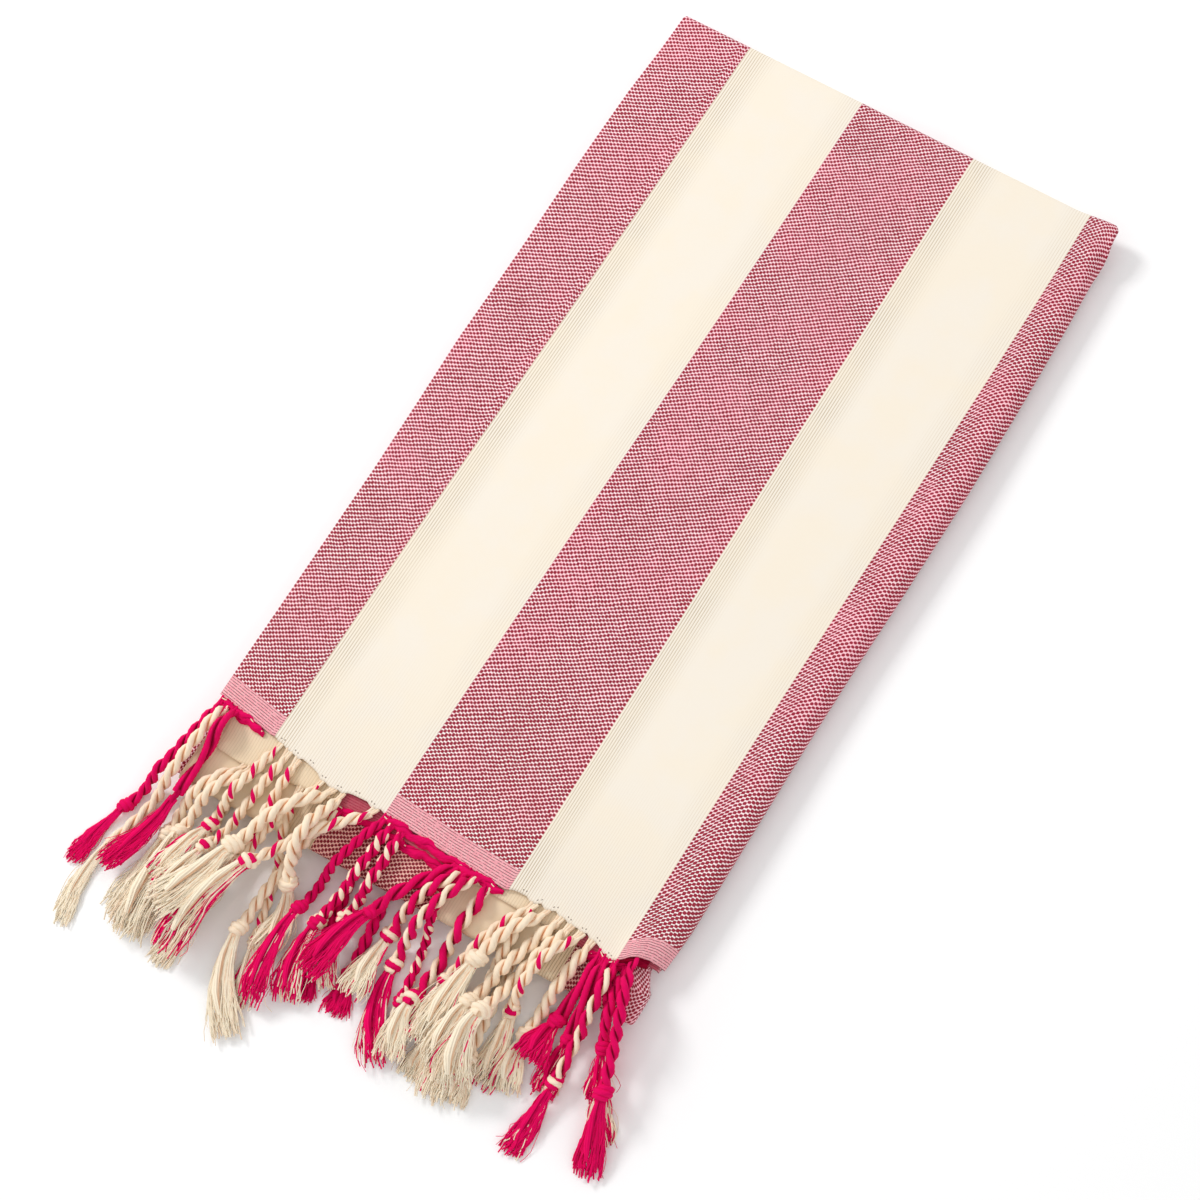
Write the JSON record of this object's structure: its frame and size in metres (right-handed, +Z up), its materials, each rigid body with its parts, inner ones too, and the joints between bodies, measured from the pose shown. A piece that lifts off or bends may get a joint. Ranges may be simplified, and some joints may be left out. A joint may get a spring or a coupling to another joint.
{
  "type": "folded hammam towel",
  "caption": "Folded hammam towel of striped woven cotton, laid back and forth in flat layers, with a fringe of its own warp yarn, twisted and knotted.",
  "frame": {"origin": "centre of the whole towel's box, on the surface it lies on", "axes": "+Y along the stripes towards the far fold, with the fringe at -Y; +X across the stripes towards the long bent side; +Z up"},
  "size_m": [0.2986, 0.5652, 0.03],
  "materials": {
    "woven cotton": "matt flat weave with broad pink and cream stripes",
    "fuchsia yarn": "matt twisted cotton yarn",
    "cream yarn": "matt twisted cotton yarn"
  },
  "bodies": {
    "root": {"cloth": "woven cotton", "fringe_floor_left": "cream yarn", "fringe_floor_middle": "fuchsia yarn", "fringe_floor_right": "cream yarn", "fringe_second_cream_left": "cream yarn", "fringe_second_cream_right": "cream yarn", "fringe_second_pink_middle": "fuchsia yarn", "fringe_second_pink_right": "fuchsia yarn", "fringe_top_cream_left": "cream yarn", "fringe_top_cream_right": "cream yarn", "fringe_top_pink_left": "fuchsia yarn", "fringe_top_pink_middle": "fuchsia yarn", "fringe_top_pink_right": "fuchsia yarn"}
  },
  "joints": []
}
